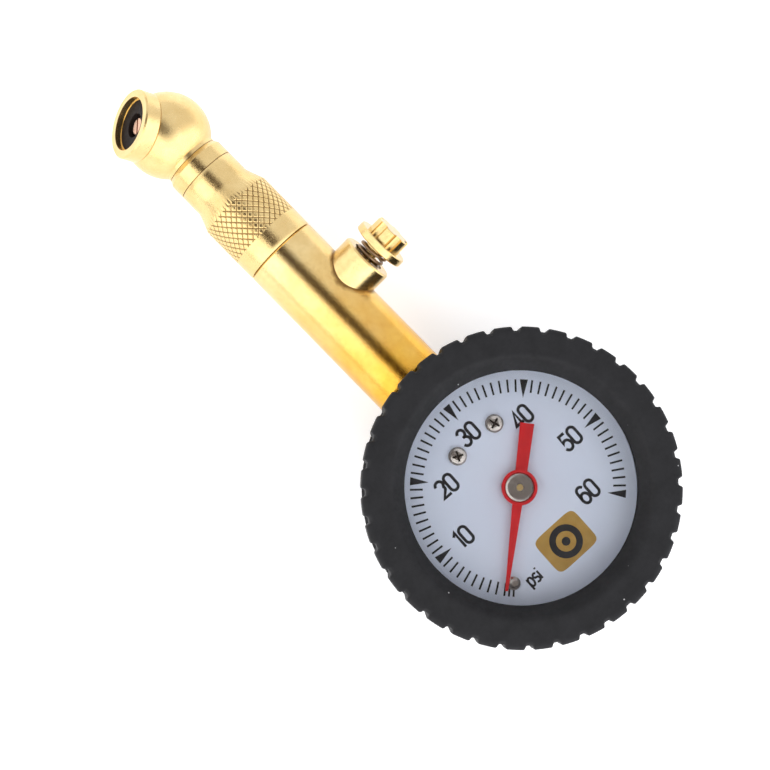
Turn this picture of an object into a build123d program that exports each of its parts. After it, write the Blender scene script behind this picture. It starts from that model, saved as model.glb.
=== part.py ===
from build123d import *
from math import atan2, cos, degrees, hypot, pi, radians, sin, sqrt, tan
import os

# Dial tire pressure gauge with a ball-swivel chuck, a bleed button and a tread-patterned boot.
# Frame: the gauge lies on the back of its boot. The boot's back is z = 0, the dial looks
# along +Z, the stem runs along +Y and the bleed button stands out on the +X side.
# Every length is in millimetres and every angle in degrees.

os.makedirs("parts", exist_ok=True)

# ---------------------------------------------------------------- driving dimensions
STEM_Z = 12.5             # height of the stem axis above the back of the boot
MOVEMENT_TURN = -2.8      # the movement and dial sit turned this far about the dial axis

BOOT_R = 27.0
BOOT_BACK_R = 25.7         # the tread tapers towards the back, as a moulded cup does
BOOT_TAPER_Z = 21.0
BOOT_DEPTH = 26.0
BOOT_FLOOR = 1.8
BOOT_OPENING_R = 19.7
BOOT_BEVEL_R = 21.9
BOOT_EDGE = 1.0           # size of the rounded outer edges
LUG_COUNT = 36
LUG_GAP = 1.2
LUG_DEPTH = 0.7

CASE_R = 21.5
CASE_WALL = 0.8
CASE_RIM_Z = 21.1
BEZEL_R = 22.3
LENS_R = 21.3
LENS_Z = 21.4
LENS_THICK = 1.3
DIAL_Z = 18.4
DIAL_THICK = 0.5
DIAL_R = 20.4

TUBE_R = 6.86
TUBE_START = 21.8
TUBE_END = 57.8
THREAD_R = 5.25           # both screwed joints of the stem tube
TUBE_BORE_R = 3.1
SOCKET_FLOOR_A = 31.4     # bottom of the socket at the gauge end
SOCKET_FLOOR_B = 50.75    # bottom of the socket at the chuck end
WASHER_THICK = 1.0

BLEED_Y = 46.35
BLEED_TILT = 17.0         # the bleed valve leans this far up out of the dial plane
BLEED_BOSS_R = 4.8
BLEED_TOP = 10.4
BUTTON_R = 4.95
BUTTON_UNDERSIDE = 12.75     # released; the stroke of 1.85 leaves it clear of the boss
BUTTON_FACE = 14.2
CROWN_R = 3.42
CROWN_TOP = 16.8

SLEEVE_KNURL_START = 61.6
SLEEVE_KNURL_END = 69.05
SLEEVE_CONE_END = 72.3
NECK_R = 5.64
SLEEVE_END = 76.55
RING_END = 79.85

BALL_Y = 86.25
BALL_R = 7.64
SHANK_R = 3.64
MOUTH_TURN = 131.3        # mouth direction about the stem axis, from +X towards +Z
MOUTH_ANGLE = 47.4        # angle between the mouth and the stem
MOUTH_FACE = 7.7          # mouth rim, from the ball's centre
MOUTH_BORE_R = 4.76
MOUTH_STEP = 6.55         # front face of the rubber washer
COLLAR_R = 6.18
COLLAR_SEAT = 4.75

TICK_START = 218.1        # pointer at rest, measured counter-clockwise from +X
NEEDLE_R = 17.6
HUB_R = 3.05
PINION_TEETH = 10
SECTOR_TEETH = 60         # teeth of the full wheel the sector is cut from
GEAR_MODULE = 0.3
SECTOR_PIVOT_ANGLE = -20.0
SECTOR_TRAVEL = 44.4
TAIL_ARM = 3.6            # the short arm of the sector, pulled by the link
TAIL_ANGLE = -130.0       # its direction half way through the travel
TUBE_MEAN_R = 16.2
TUBE_MID_Z = 10.3
TIP_ANGLE = -40.0
TUBE_STOP = 360 + TIP_ANGLE - 12.2   # where the tube ends, just short of the tip's pin

# ---------------------------------------------------------------- shared frames
STEM = Plane(origin=(0, 0, STEM_Z), x_dir=(1, 0, 0), z_dir=(0, 1, 0))
BLEED_DIRECTION = (cos(radians(BLEED_TILT)), 0, sin(radians(BLEED_TILT)))
BLEED = Plane(origin=(0, BLEED_Y, STEM_Z), x_dir=(0, 1, 0), z_dir=BLEED_DIRECTION)
MOUTH_DIRECTION = (
    sin(radians(MOUTH_ANGLE)) * cos(radians(MOUTH_TURN)),
    cos(radians(MOUTH_ANGLE)),
    sin(radians(MOUTH_ANGLE)) * sin(radians(MOUTH_TURN)),
)
MOUTH = Plane(origin=(0, BALL_Y, STEM_Z), x_dir=(0.7, 0.3, 0.2), z_dir=MOUTH_DIRECTION)
MOVEMENT = Rot(0, 0, MOVEMENT_TURN)


# ---------------------------------------------------------------- shared helpers
def turned(points, frame=Plane.XY):
    """A solid of revolution about the frame's z axis from (radius, height) points."""
    outline = Polyline(*points, close=True)
    face = make_face(Plane.XZ * outline)
    return frame * revolve(face, Axis.Z, 360)


def rod(radius, low, high, frame=Plane.XY, at=(0, 0)):
    """A cylinder along the frame's z axis between two heights."""
    start = Pos(at[0], at[1], low)
    return frame * (start * Cylinder(radius, high - low, align=(Align.CENTER, Align.CENTER, Align.MIN)))


def ring(outer, inner, low, high, frame=Plane.XY, at=(0, 0)):
    """A plain tube along the frame's z axis."""
    return rod(outer, low, high, frame, at) - rod(inner, low, high, frame, at)


def block(x0, x1, y0, y1, z0, z1):
    """An axis-aligned box from its limits."""
    size = Box(x1 - x0, y1 - y0, z1 - z0)
    return Pos((x0 + x1) / 2, (y0 + y1) / 2, (z0 + z1) / 2) * size


def coil(mean_r, wire_r, low, high, turns, frame):
    """A compression spring along the frame's z axis, its wire inside low..high."""
    height = high - low - 2 * wire_r
    path = Helix(pitch=height / turns, height=height, radius=mean_r)
    section = Plane(origin=path @ 0, z_dir=path % 0) * Circle(wire_r)
    spring = sweep(section, path=path, is_frenet=True)
    return frame * (Pos(0, 0, low + wire_r) * spring)


def polar(radius, angle):
    """A point in the dial plane."""
    return (radius * cos(radians(angle)), radius * sin(radians(angle)))


def plate_over(points, low, high):
    """A plate whose outline wraps round discs given as (x, y, radius)."""
    discs = [Pos(x, y) * Circle(r) for x, y, r in points]
    edges = []
    for disc in discs:
        edges = edges + list(disc.edges())
    outline = make_hull(edges)
    return extrude(Pos(0, 0, low) * outline, amount=high - low, dir=(0, 0, 1))


# ---------------------------------------------------------------- boot, case and lens
def boot_radius(z):
    """Outer radius of the tread at a height."""
    share = min(z / BOOT_TAPER_Z, 1.0)
    return BOOT_BACK_R + (BOOT_R - BOOT_BACK_R) * share


def tread_shell(depth, low, high):
    """Everything outside the tread's floor, between two heights."""
    levels = [low] + [BOOT_TAPER_Z] * (low < BOOT_TAPER_Z < high) + [high]
    floor = [(boot_radius(level) - depth, level) for level in levels]
    return turned(floor + [(BOOT_R + 2, high), (BOOT_R + 2, low)])


def rubber_boot():
    lip_z = 23.2
    groove_z = 19.75
    outline = [
        (0, 0),
        (BOOT_BACK_R - BOOT_EDGE, 0),
        (boot_radius(BOOT_EDGE), BOOT_EDGE),
        (BOOT_R, BOOT_TAPER_Z),
        (BOOT_R, BOOT_DEPTH - BOOT_EDGE),
        (BOOT_R - BOOT_EDGE, BOOT_DEPTH),
        (BOOT_BEVEL_R, BOOT_DEPTH),
        (BOOT_OPENING_R, lip_z + 0.6),
        (BOOT_OPENING_R, lip_z),
        (BEZEL_R + 0.1, lip_z),
        (BEZEL_R + 0.1, groove_z),
        (CASE_R, groove_z),
        (CASE_R, BOOT_FLOOR),
        (0, BOOT_FLOOR),
    ]
    body = turned(outline)
    groove_mid = 12.0
    groove_half = 0.6
    body = body - tread_shell(LUG_DEPTH - 0.2, groove_mid - groove_half, groove_mid + groove_half)
    front_shell = tread_shell(LUG_DEPTH, groove_mid, BOOT_DEPTH + 1)
    back_shell = tread_shell(LUG_DEPTH, 0, groove_mid)
    pitch = 360 / LUG_COUNT
    front_start = 7.5
    cuts = []
    for index in range(LUG_COUNT):
        front = front_start + index * pitch
        front_gap = Rot(0, 0, front) * block(20, BOOT_R + 1, -LUG_GAP / 2, LUG_GAP / 2, 0, BOOT_DEPTH + 1)
        back_gap = Rot(0, 0, front + pitch / 2) * block(20, BOOT_R + 1, -LUG_GAP / 2, LUG_GAP / 2, -1, BOOT_DEPTH)
        cuts.append(front_shell & front_gap)
        cuts.append(back_shell & back_gap)
    body = body - cuts
    tube_hole = rod(TUBE_R + 0.1, CASE_R - 2, BOOT_R + 2, STEM)
    return body - tube_hole


def gauge_case():
    inner = CASE_R - CASE_WALL
    outline = [
        (0, BOOT_FLOOR),
        (CASE_R, BOOT_FLOOR),
        (CASE_R, CASE_RIM_Z),
        (inner, CASE_RIM_Z),
        (inner, BOOT_FLOOR + CASE_WALL),
        (0, BOOT_FLOOR + CASE_WALL),
    ]
    cup = turned(outline)
    cup = cup - rod(THREAD_R + 0.1, inner - 3, CASE_R + 1, STEM)
    for x, y in case_screw_places():
        sink = turned([(0, BOOT_FLOOR), (1.7, BOOT_FLOOR), (0.9, BOOT_FLOOR + 0.8), (0, BOOT_FLOOR + 0.8)])
        cup = cup - MOVEMENT * (Pos(x, y, 0) * sink)
    return cup


def bezel_ring():
    inner = 19.9
    outline = [
        (CASE_R, 19.85),
        (BEZEL_R, 19.85),
        (BEZEL_R, 23.1),
        (inner, 23.1),
        (inner, LENS_Z + LENS_THICK),
        (LENS_R + 0.1, LENS_Z + LENS_THICK),
        (LENS_R + 0.1, CASE_RIM_Z),
        (CASE_R, CASE_RIM_Z),
    ]
    return turned(outline)


def lens():
    return rod(LENS_R, LENS_Z, LENS_Z + LENS_THICK)


def lens_gasket():
    return ring(21.3, 20.5, CASE_RIM_Z, LENS_Z)


# ---------------------------------------------------------------- dial and pointer
def dial_screw_places():
    radius = 11.65
    spread = 21.2
    return [polar(radius, 90 - spread), polar(radius, 90 + spread)]


def stop_place():
    return polar(16.2, TICK_START + 4.2 - MOVEMENT_TURN)


def dial_plate():
    plate = rod(DIAL_R, DIAL_Z, DIAL_Z + DIAL_THICK)
    plate = plate - rod(1.5, DIAL_Z, DIAL_Z + DIAL_THICK)
    for place in dial_screw_places():
        plate = plate - rod(0.8, DIAL_Z, DIAL_Z + DIAL_THICK, at=place)
    plate = plate - rod(0.6, DIAL_Z, DIAL_Z + DIAL_THICK, at=stop_place())
    return MOVEMENT * plate


def pan_screw(head_r, head_h, shank_r, length, recess):
    """A cross-recessed pan-head screw, its head resting on z = 0."""
    outline = [
        (0, -length),
        (shank_r, -length),
        (shank_r, 0),
        (head_r, 0),
        (head_r, head_h * 0.45),
        (head_r * 0.8, head_h * 0.85),
        (head_r * 0.45, head_h),
        (0, head_h),
    ]
    screw = turned(outline)
    arm = head_r * 0.62
    slot = block(-arm, arm, -recess / 2, recess / 2, head_h * 0.4, head_h + 1)
    return screw - [slot, Rot(0, 0, 90) * slot]


def dial_screws():
    top = DIAL_Z + DIAL_THICK
    turns = [20, 65]
    screws = []
    for place, turn in zip(dial_screw_places(), turns):
        screw = pan_screw(1.575, 0.85, 0.8, 4.0, 0.38)
        screws.append(MOVEMENT * (Pos(place[0], place[1], top) * (Rot(0, 0, turn) * screw)))
    return Compound(children=screws)


def stop_pin():
    top = DIAL_Z + DIAL_THICK
    outline = [
        (0, DIAL_Z - 0.6),
        (0.9, DIAL_Z - 0.6),
        (0.9, DIAL_Z),
        (0.6, DIAL_Z),
        (0.6, top),
        (1.15, top),
        (1.15, top + 0.45),
        (0.85, top + 0.7),
        (0.85, top + 1.6),
        (0.5, top + 1.9),
        (0, top + 1.9),
    ]
    x, y = stop_place()
    return MOVEMENT * (Pos(x, y, 0) * turned(outline))


def pointer():
    low = 20.0
    high = 20.35
    needle = Polyline((2.4, 0.86), (NEEDLE_R, 0.24), (NEEDLE_R, -0.24), (2.4, -0.86), close=True)
    tail = Polyline((-2.4, 1.0), (-11.0, 1.2), (-11.0, -1.2), (-2.4, -1.0), close=True)
    hub = Pos(0, 0, low) * Circle(HUB_R)
    blade = extrude(Pos(0, 0, low) * make_face(needle), amount=high - low, dir=(0, 0, 1))
    counterweight = extrude(Pos(0, 0, low) * make_face(tail), amount=high - low, dir=(0, 0, 1))
    disc = extrude(hub, amount=high - low, dir=(0, 0, 1))
    rim = ring(HUB_R, 2.56, high, 20.8)
    body = blade + counterweight + disc + rim
    body = body - rod(0.55, low, high)
    return Rot(0, 0, TICK_START) * body


def pointer_cap():
    outline = [(0.55, 20.35), (2.54, 20.35), (2.54, 20.62), (2.06, 21.0), (0.55, 21.0)]
    return turned(outline)


# ---------------------------------------------------------------- movement
def sector_pivot():
    distance = GEAR_MODULE * (PINION_TEETH + SECTOR_TEETH) / 2
    return polar(distance, SECTOR_PIVOT_ANGLE)


def tail_pin_place():
    """The link pin on the sector's tail, half way through its travel."""
    x, y = sector_pivot()
    dx, dy = polar(TAIL_ARM, TAIL_ANGLE)
    return (x + dx, y + dy)


def at_rest(point):
    """A point of the sector turned from mid-travel to the zero reading."""
    px, py = sector_pivot()
    half = -radians(SECTOR_TRAVEL / 2)
    dx = point[0] - px
    dy = point[1] - py
    return (px + dx * cos(half) - dy * sin(half), py + dx * sin(half) + dy * cos(half))


def tip_pin_place():
    """The link pin on the tube tip at the zero reading: the same link, one link length away."""
    mid_tail = tail_pin_place()
    rest_tail = at_rest(mid_tail)
    mid_tip = polar(TUBE_MEAN_R, TIP_ANGLE)
    link_angle = atan2(mid_tip[1] - mid_tail[1], mid_tip[0] - mid_tail[0])
    length = hypot(mid_tip[0] - mid_tail[0], mid_tip[1] - mid_tail[1])
    return (rest_tail[0] + length * cos(link_angle), rest_tail[1] + length * sin(link_angle))


def involute_half_angle(teeth, radius, thinning):
    """Half the angle one tooth fills at a radius, in radians, for 20 degree involute teeth."""
    pitch_r = GEAR_MODULE * teeth / 2
    base_r = pitch_r * cos(radians(20))
    half_pitch = pi / (2 * teeth) - thinning / (2 * pitch_r)
    at_pitch = tan(radians(20)) - radians(20)
    if radius <= base_r:
        return half_pitch + at_pitch
    pressure = sqrt((radius / base_r) ** 2 - 1)
    return half_pitch + at_pitch - (pressure - atan2(pressure, 1))


def tooth_points(teeth, centre, tip_r, root_r, thinning):
    """The outline of one tooth, from its left root to its right root."""
    steps = 5
    left = []
    right = []
    for step in range(steps + 1):
        radius = root_r + (tip_r - root_r) * step / steps
        half = involute_half_angle(teeth, radius, thinning)
        left.append((radius * cos(centre - half), radius * sin(centre - half)))
        right.append((radius * cos(centre + half), radius * sin(centre + half)))
    return left + right[::-1]


def pinion_arbor():
    pitch_r = GEAR_MODULE * PINION_TEETH / 2
    tip_r = pitch_r + 0.9 * GEAR_MODULE
    root_r = pitch_r - 1.25 * GEAR_MODULE
    turned_back = SECTOR_TRAVEL / 2 * SECTOR_TEETH / PINION_TEETH
    mesh = radians(SECTOR_PIVOT_ANGLE + turned_back)
    points = []
    for tooth in range(PINION_TEETH):
        centre = mesh + (tooth + 0.5) * 2 * pi / PINION_TEETH
        points = points + tooth_points(PINION_TEETH, centre, tip_r, root_r, 0.05)
    outline = make_face(Polyline(*points, close=True))
    leaves = extrude(Pos(0, 0, 8.3) * outline, amount=1.6, dir=(0, 0, 1))
    shaft = turned([
        (0, 4.0),
        (0.45, 4.0),
        (0.45, 5.1),
        (0.7, 5.1),
        (0.7, 12.0),
        (0.95, 12.0),
        (0.95, 13.2),
        (0.7, 13.2),
        (0.7, 14.1),
        (0.6, 14.1),
        (0.6, 19.9),
        (0.55, 19.9),
        (0.55, 21.15),
        (0, 21.15),
    ])
    return MOVEMENT * (leaves + shaft)


def sector_gear():
    pitch_r = GEAR_MODULE * SECTOR_TEETH / 2
    tip_r = pitch_r + 0.7 * GEAR_MODULE
    root_r = pitch_r - 1.2 * GEAR_MODULE
    toward = radians(SECTOR_PIVOT_ANGLE + 180)
    pitch = 2 * pi / SECTOR_TEETH
    half_count = 5
    points = []
    for tooth in range(-half_count, half_count + 1):
        centre = toward + tooth * pitch
        points = points + tooth_points(SECTOR_TEETH, centre, tip_r, root_r, 0.05)
    inner_r = 6.6
    end = toward + (half_count + 0.5) * pitch
    start = toward - (half_count + 0.5) * pitch
    steps = 10
    inner = []
    for step in range(steps + 1):
        angle = end + (start - end) * step / steps
        inner.append((inner_r * cos(angle), inner_r * sin(angle)))
    rim = extrude(make_face(Polyline(*(points + inner), close=True)), amount=0.9, dir=(0, 0, 1))
    arm_half = 1.3
    arm = block(0, inner_r + 0.6, -arm_half, arm_half, 0, 0.9)
    arm = Rot(0, 0, degrees(toward)) * arm
    hub = rod(1.9, 0, 0.9)
    tail = Rot(0, 0, TAIL_ANGLE) * block(0, TAIL_ARM, -1.0, 1.0, 0, 0.9)
    tail = tail + rod(1.0, 0, 0.9, at=polar(TAIL_ARM, TAIL_ANGLE))
    body = rim + arm + hub + tail
    body = body - rod(0.9, 0, 0.9)
    body = body - rod(0.4, 0, 0.9, at=polar(TAIL_ARM, TAIL_ANGLE))
    x, y = sector_pivot()
    return MOVEMENT * (Pos(x, y, 8.6) * (Rot(0, 0, -SECTOR_TRAVEL / 2) * body))


def sector_arbor():
    shaft = turned([
        (0, 4.0),
        (0.45, 4.0),
        (0.45, 5.1),
        (0.9, 5.1),
        (0.9, 14.1),
        (0.45, 14.1),
        (0.45, 15.2),
        (0, 15.2),
    ])
    x, y = sector_pivot()
    return MOVEMENT * (Pos(x, y, 0) * shaft)


def sector_link_pin():
    x, y = at_rest(tail_pin_place())
    pin = turned([
        (0, 8.2), (0.7, 8.2), (0.7, 8.6), (0.4, 8.6), (0.4, 10.35), (0.7, 10.35), (0.7, 10.6), (0, 10.6),
    ])
    return MOVEMENT * (Pos(x, y, 0) * pin)


def link():
    """A flat link with a close hole at the sector end and a roomy hole at the tip end."""
    tail_x, tail_y = at_rest(tail_pin_place())
    tip_x, tip_y = tip_pin_place()
    low = 9.6
    high = 10.25
    body = plate_over([(tail_x, tail_y, 1.0), (tip_x, tip_y, 1.25)], low, high)
    body = body - rod(0.45, low, high, at=(tail_x, tail_y))
    body = body - rod(0.8, low, high, at=(tip_x, tip_y))
    return MOVEMENT * body


def tip_link_pin():
    x, y = tip_pin_place()
    pin = turned([
        (0, 9.1), (1.15, 9.1), (1.15, 9.5), (0.4, 9.5), (0.4, 11.2), (0.75, 11.2), (0.75, 11.5), (0, 11.5),
    ])
    return MOVEMENT * (Pos(x, y, 0) * pin)


def oval_section(radial, axial):
    """A flat-oval cross-section in the XZ plane, round at its two long ends."""
    return Plane.XZ * SlotOverall(axial, radial, rotation=90)


def arc_of(section, start, end, mean_r, mid_z):
    """Sweeps a section round the dial axis from one angle to another."""
    placed = Pos(mean_r, 0, mid_z) * section
    solid = revolve(placed, Axis.Z, end - start)
    return Rot(0, 0, start) * solid


def bourdon_tube():
    start = 111.0
    end = TUBE_STOP
    outer = arc_of(oval_section(2.3, 6.5), start, end, TUBE_MEAN_R, TUBE_MID_Z)
    hollow = arc_of(oval_section(1.7, 5.9), start, end - 1.0, TUBE_MEAN_R, TUBE_MID_Z)
    return MOVEMENT * (outer - hollow)


def tube_tip():
    """The end cap brazed on the tube with the ear that carries the link."""
    x, y = tip_pin_place()
    cap = arc_of(oval_section(3.3, 7.5), TUBE_STOP - 3.0, TUBE_STOP + 3.5, TUBE_MEAN_R, TUBE_MID_Z)
    tube = arc_of(oval_section(2.3, 6.5), TUBE_STOP - 4.0, TUBE_STOP, TUBE_MEAN_R, TUBE_MID_Z)
    root_x, root_y = polar(TUBE_MEAN_R, TUBE_STOP + 2.0)
    ear = plate_over([(root_x, root_y, 1.2), (x, y, 1.2)], 10.35, 11.15)
    body = cap + ear - tube
    body = body - rod(0.4, 10.35, 11.15, at=(x, y))
    return MOVEMENT * body


def pillar_places():
    return [(-9.0, -5.0), (2.0, -13.0), (9.2, 7.6)]


def plate_screw_places():
    return [(-3.5, 9.9), (3.5, 9.9)]


def case_screw_places():
    return [(-3.5, 14.2), (3.5, 14.2)]


def plate_discs(reach):
    pivot_x, pivot_y = sector_pivot()
    discs = [(x, y, 1.9) for x, y in pillar_places()]
    discs = discs + [(0, 0, 3.0), (pivot_x, pivot_y, 2.0)]
    return discs + reach


def movement_back_plate():
    reach = [(x, y, 1.7) for x, y in plate_screw_places()]
    plate = plate_over(plate_discs(reach), 4.0, 5.0)
    plate = plate - rod(0.48, 4.0, 5.0)
    plate = plate - rod(0.48, 4.0, 5.0, at=sector_pivot())
    for place in plate_screw_places():
        plate = plate - rod(0.8, 4.0, 5.0, at=place)
    for place in pillar_places():
        plate = plate - rod(0.7, 4.0, 5.0, at=place)
    return MOVEMENT * plate


def movement_front_plate():
    plate = plate_over(plate_discs([]), 14.2, 15.2)
    plate = plate - rod(0.64, 14.2, 15.2)
    plate = plate - rod(0.48, 14.2, 15.2, at=sector_pivot())
    plate = plate - rod(0.35, 14.2, 15.2, at=stud_place())
    for place in pillar_places():
        plate = plate - rod(0.6, 14.2, 15.2, at=place)
    return MOVEMENT * plate


def movement_pillars():
    pillars = []
    for x, y in pillar_places():
        pillar = rod(1.2, 5.0, 14.2) + rod(0.7, 4.0, 5.0)
        pillar = pillar - rod(0.6, 11.7, 14.2)
        pillars.append(MOVEMENT * (Pos(x, y, 0) * pillar))
    return Compound(children=pillars)


def movement_screws():
    screws = []
    for x, y in pillar_places():
        screw = pan_screw(1.2, 0.6, 0.6, 3.5, 0.3)
        screws.append(MOVEMENT * (Pos(x, y, 15.2) * screw))
    return Compound(children=screws)


def plate_screws():
    screws = []
    for x, y in plate_screw_places():
        screw = Rot(180, 0, 0) * pan_screw(1.5, 0.8, 0.8, 4.0, 0.35)
        screws.append(MOVEMENT * (Pos(x, y, 4.0) * screw))
    return Compound(children=screws)


def stud_place():
    return polar(4.6, 205)


def hairspring():
    """A flat spiral strip from the arbor's collet out to the stud."""
    inner_r = 0.95
    outer_r = 4.6
    turns = 5.0
    half_strip = 0.06
    steps_per_turn = 16
    total = int(turns * steps_per_turn)
    outside = []
    inside = []
    for step in range(total + 1):
        angle = radians(205) - 2 * pi * turns * (total - step) / total
        radius = inner_r + half_strip + (outer_r - inner_r - 0.35 - half_strip) * step / total
        outside.append(((radius + half_strip) * cos(angle), (radius + half_strip) * sin(angle)))
        inside.append(((radius - half_strip) * cos(angle), (radius - half_strip) * sin(angle)))
    edges = [
        Spline(*outside),
        Line(outside[-1], inside[-1]),
        Spline(*inside),
        Line(inside[0], outside[0]),
    ]
    strip = make_face(edges)
    return MOVEMENT * extrude(Pos(0, 0, 12.4) * strip, amount=0.5, dir=(0, 0, 1))


def hairspring_stud():
    return MOVEMENT * rod(0.35, 12.2, 15.4, at=stud_place())


# ---------------------------------------------------------------- pressure socket
def socket_block():
    """The brass socket: dial pads on top, the tube's root at one side, a threaded spigot out."""
    body = block(-6.0, 6.0, 8.3, 16.4, 5.0, DIAL_Z)
    foot = block(-5.6, 5.6, 12.4, 16.0, BOOT_FLOOR + CASE_WALL, 5.0)
    shoulder = block(-7.6, -6.0, 12.2, 17.4, 6.4, 14.2)
    body = MOVEMENT * (body + foot + shoulder)
    spigot = rod(THREAD_R, 12.0, SOCKET_FLOOR_A - WASHER_THICK, STEM)
    body = body + spigot
    pitch = 0.94
    grooves = []
    for turn in range(8):
        start = 22.4 + turn * pitch
        groove = [(THREAD_R + 1, start), (THREAD_R, start), (4.8, start + pitch / 2), (THREAD_R, start + pitch),
                  (THREAD_R + 1, start + pitch)]
        grooves.append(turned(groove, STEM))
    body = body - grooves
    body = body - rod(1.5, 13.4, SOCKET_FLOOR_A, STEM)
    cross = Plane(origin=(0, 14.2, 12.0), z_dir=(-1, 0, 0))
    body = body - MOVEMENT * rod(0.9, -1.5, 6.6, cross)
    seat = arc_of(oval_section(2.3, 6.5), 111.0, 122.0, TUBE_MEAN_R, TUBE_MID_Z)
    body = body - MOVEMENT * seat
    for place in dial_screw_places():
        body = body - MOVEMENT * rod(0.8, DIAL_Z - 3.5, DIAL_Z, at=place)
    for place in plate_screw_places():
        body = body - MOVEMENT * rod(0.8, 5.0, 8.0, at=place)
    for place in case_screw_places():
        body = body - MOVEMENT * rod(0.9, BOOT_FLOOR + CASE_WALL, 6.8, at=place)
    return body


def case_screws():
    screws = []
    for x, y in case_screw_places():
        outline = [(0, BOOT_FLOOR), (1.7, BOOT_FLOOR), (0.9, BOOT_FLOOR + 0.8), (0.9, 6.8), (0, 6.8)]
        screw = turned(outline)
        slot = block(-2, 2, -0.2, 0.2, BOOT_FLOOR - 1, BOOT_FLOOR + 0.4)
        screws.append(MOVEMENT * (Pos(x, y, 0) * (screw - slot)))
    return Compound(children=screws)


# ---------------------------------------------------------------- stem tube and bleed valve
def stem_tube():
    outline = [
        (THREAD_R, TUBE_START),
        (TUBE_R, TUBE_START),
        (TUBE_R, TUBE_END - 0.21),
        (TUBE_R - 0.21, TUBE_END),
        (THREAD_R, TUBE_END),
        (THREAD_R, SOCKET_FLOOR_B),
        (TUBE_BORE_R, SOCKET_FLOOR_B),
        (TUBE_BORE_R, SOCKET_FLOOR_A),
        (THREAD_R, SOCKET_FLOOR_A),
    ]
    tube = turned(outline, STEM)
    return tube - rod(3.54, 0, TUBE_R + 2, BLEED)


def stem_seal_washer():
    return ring(5.1, 1.87, SOCKET_FLOOR_A - WASHER_THICK, SOCKET_FLOOR_A, STEM)


def sleeve_seal_washer():
    return ring(5.1, 2.7, SOCKET_FLOOR_B, SOCKET_FLOOR_B + WASHER_THICK, STEM)


def bleed_housing():
    """The boss brazed on the tube: spring pocket above, guide hole, seal seat below."""
    collar = rod(BLEED_BOSS_R, 2.08, BLEED_TOP, BLEED) - rod(TUBE_R, BLEED_Y - 10, BLEED_Y + 10, STEM)
    body = collar + rod(3.54, 2.29, BLEED_TOP, BLEED)
    body = body - rod(3.02, 6.66, BLEED_TOP, BLEED)
    body = body - rod(1.09, 3.12, 7.28, BLEED)
    body = body - rod(2.7, 2.08, 3.74, BLEED)
    port = rod(0.42, 3.12, 7.28, BLEED, at=(1.3, 0))
    body = body - port
    outer_edge = turned([
        (BLEED_BOSS_R - 0.31, BLEED_TOP),
        (BLEED_BOSS_R + 1, BLEED_TOP),
        (BLEED_BOSS_R + 1, BLEED_TOP - 1.35),
    ], BLEED)
    return body - outer_edge


def bleed_button():
    """A flanged cap with a castellated crown and the rod that carries the seal."""
    edge = 0.16
    lip = BUTTON_UNDERSIDE - 0.73
    outline = [
        (0, 3.64),
        (1.04, 3.64),
        (1.04, lip),
        (1.87, lip),
        (1.87, BUTTON_UNDERSIDE),
        (BUTTON_R - edge, BUTTON_UNDERSIDE),
        (BUTTON_R, BUTTON_UNDERSIDE + edge),
        (BUTTON_R, BUTTON_FACE - edge),
        (BUTTON_R - edge, BUTTON_FACE),
        (CROWN_R, BUTTON_FACE),
        (CROWN_R, CROWN_TOP - edge),
        (CROWN_R - edge, CROWN_TOP),
        (0, CROWN_TOP),
    ]
    body = turned(outline)
    lobes = 6
    scallop_r = 0.92
    cuts = []
    for index in range(lobes):
        scallop = rod(scallop_r, BUTTON_FACE, CROWN_TOP + 1, at=(CROWN_R + 0.06, 0))
        cuts.append(Rot(0, 0, index * 360 / lobes) * scallop)
    return BLEED * (body - cuts)


def bleed_poppet():
    """The nut on the rod's inner end that holds the seal."""
    body = ring(1.98, 0.73, 2.08, 2.7) + rod(1.98, 1.87, 2.08)
    stud = rod(0.73, 2.08, 3.64)
    return BLEED * (body + stud)


def bleed_seal():
    return BLEED * ring(2.29, 0.73, 2.7, 3.64)


def bleed_spring():
    return coil(2.5, 0.26, 6.68, BUTTON_UNDERSIDE - 0.02, 6.0, BLEED)


# ---------------------------------------------------------------- sleeve and check valve
def knurled_sleeve():
    relief = 0.12
    outline = [
        (3.43, TUBE_END - 6.03),
        (THREAD_R - 0.31, TUBE_END - 6.03),
        (THREAD_R, TUBE_END - 5.72),
        (THREAD_R, TUBE_END),
        (TUBE_R - 0.21, TUBE_END),
        (TUBE_R, TUBE_END + 0.21),
        (TUBE_R, SLEEVE_KNURL_START - 0.31),
        (TUBE_R - relief, SLEEVE_KNURL_START - 0.31),
        (TUBE_R - relief, SLEEVE_KNURL_START),
        (TUBE_R, SLEEVE_KNURL_START),
        (TUBE_R, SLEEVE_KNURL_END),
        (NECK_R, SLEEVE_CONE_END),
        (NECK_R, SLEEVE_END),
        (4.68, SLEEVE_END),
        (4.68, 74.05),
        (SHANK_R + 0.08, 74.05),
        (SHANK_R + 0.08, 69.68),
        (1.56, 69.68),
        (1.56, 67.6),
        (3.43, 67.6),
    ]
    return turned(outline, STEM)


def check_retainer():
    return ring(3.43, 1.35, 58.03, 59.49, STEM)


def check_poppet():
    outline = [(0, 62.4), (1.25, 62.4), (1.25, 65.73), (2.81, 65.73), (2.81, 66.56), (0, 66.56)]
    return turned(outline, STEM)


def check_seal():
    return rod(2.6, 66.56, 67.58, STEM)


def check_spring():
    return coil(1.92, 0.21, 59.51, 65.71, 6.0, STEM)


# ---------------------------------------------------------------- swivel and chuck
def swivel_gland_ring():
    bore = SHANK_R + 0.08
    chamfer = 0.78
    outline = [
        (bore, 75.19),
        (4.68, 75.19),
        (4.68, SLEEVE_END),
        (NECK_R, SLEEVE_END),
        (NECK_R, RING_END - chamfer),
        (NECK_R - 0.47, RING_END),
        (bore, RING_END),
    ]
    return turned(outline, STEM)


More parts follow.
